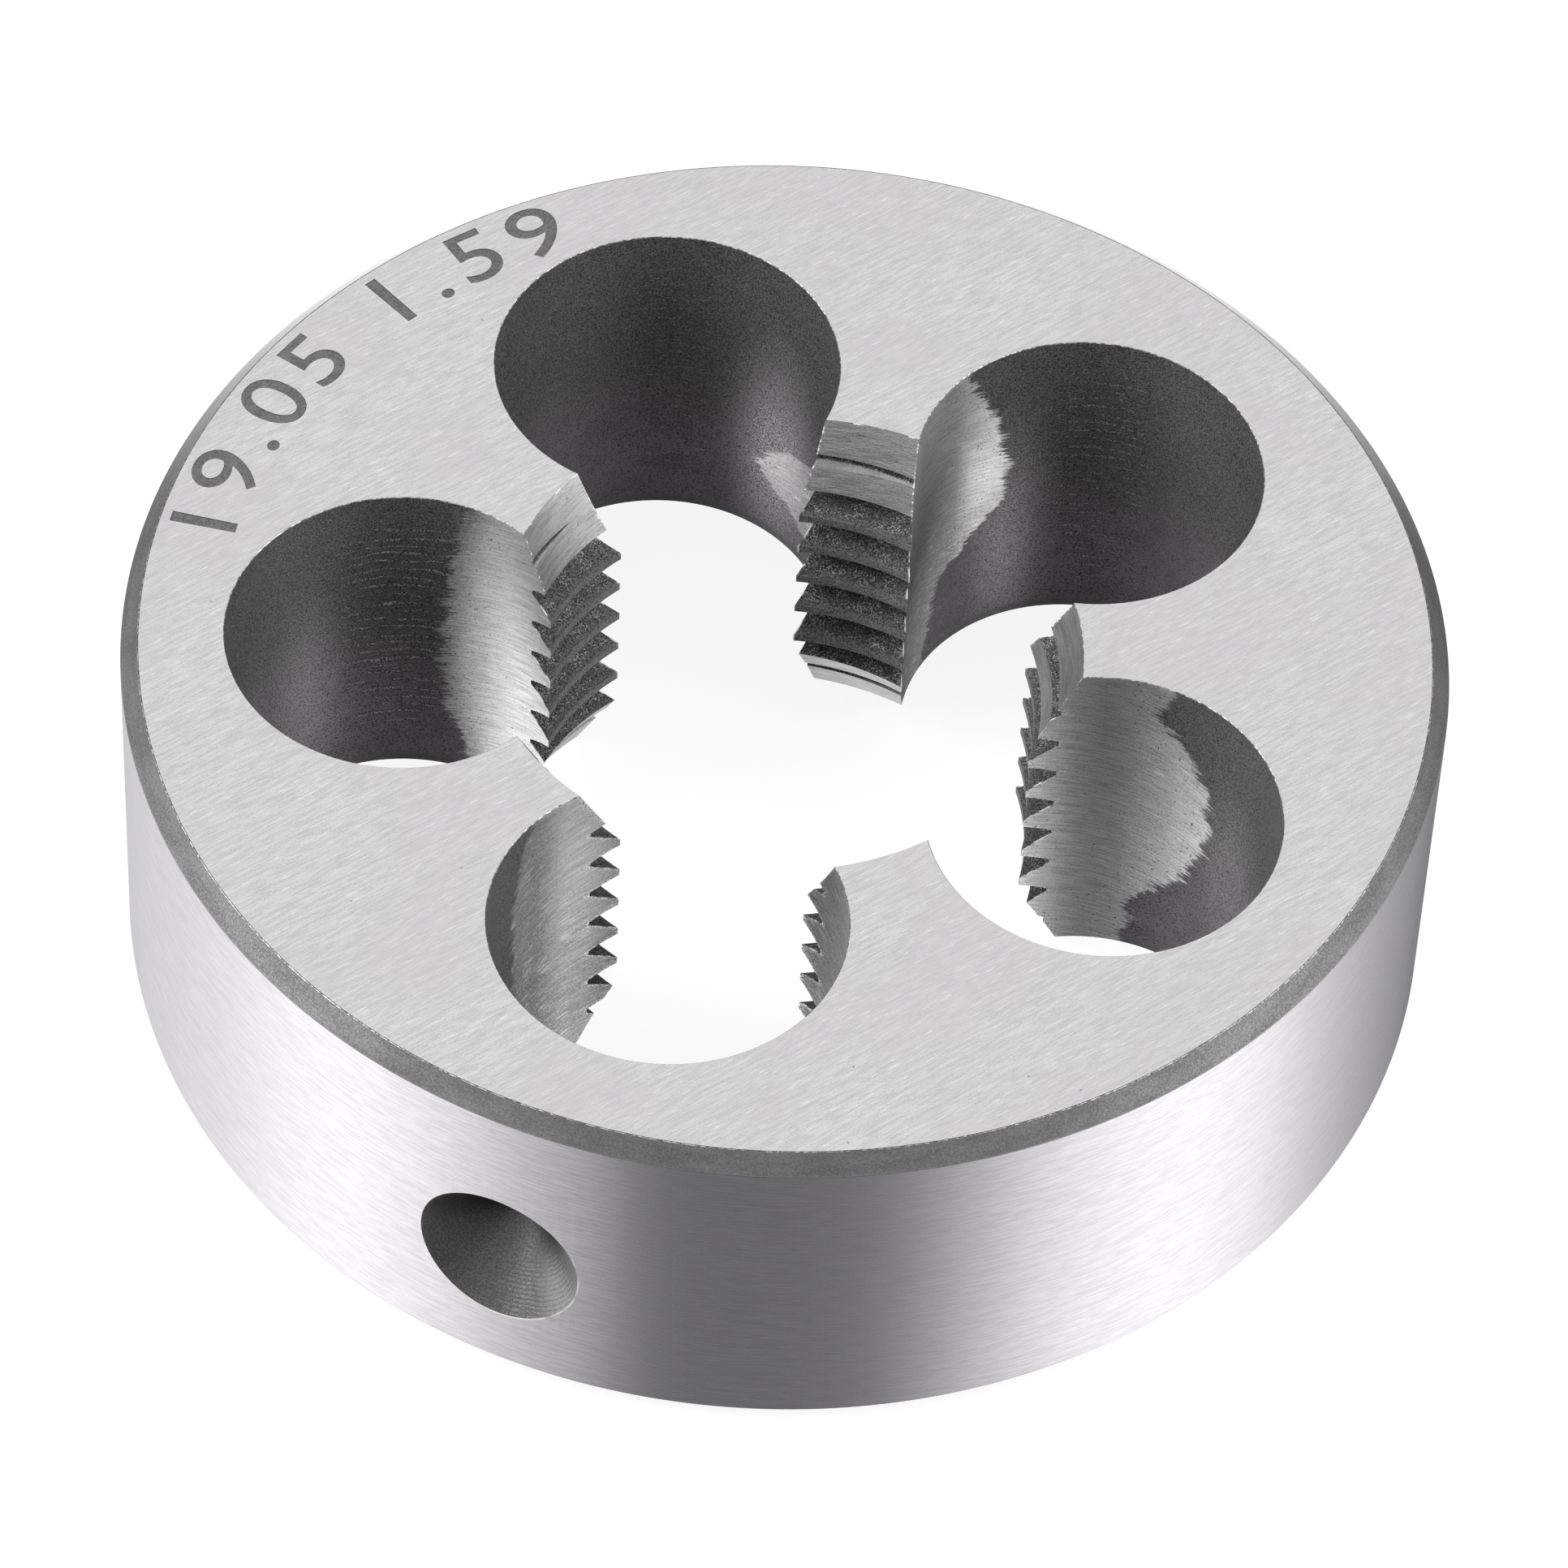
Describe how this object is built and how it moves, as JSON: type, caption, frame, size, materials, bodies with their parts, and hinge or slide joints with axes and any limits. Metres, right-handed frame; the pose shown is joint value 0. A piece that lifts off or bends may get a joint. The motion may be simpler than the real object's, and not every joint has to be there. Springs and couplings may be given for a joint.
{
  "type": "round threading die",
  "caption": "Round disc die that cuts a right-hand outside thread, with chip holes round a toothed bore, lead-in cones and cone seats in the rim.",
  "frame": {"origin": "centre of the base face, on the die axis", "axes": "+Z along the die axis towards the marked face, which is the one a bar enters; one chip hole is centred on -Y"},
  "size_m": [0.045, 0.045, 0.014],
  "materials": {
    "die_steel": "ground faces and rim, dark chip holes and thread"
  },
  "bodies": {
    "root": {"round_die": "die_steel"}
  },
  "joints": []
}
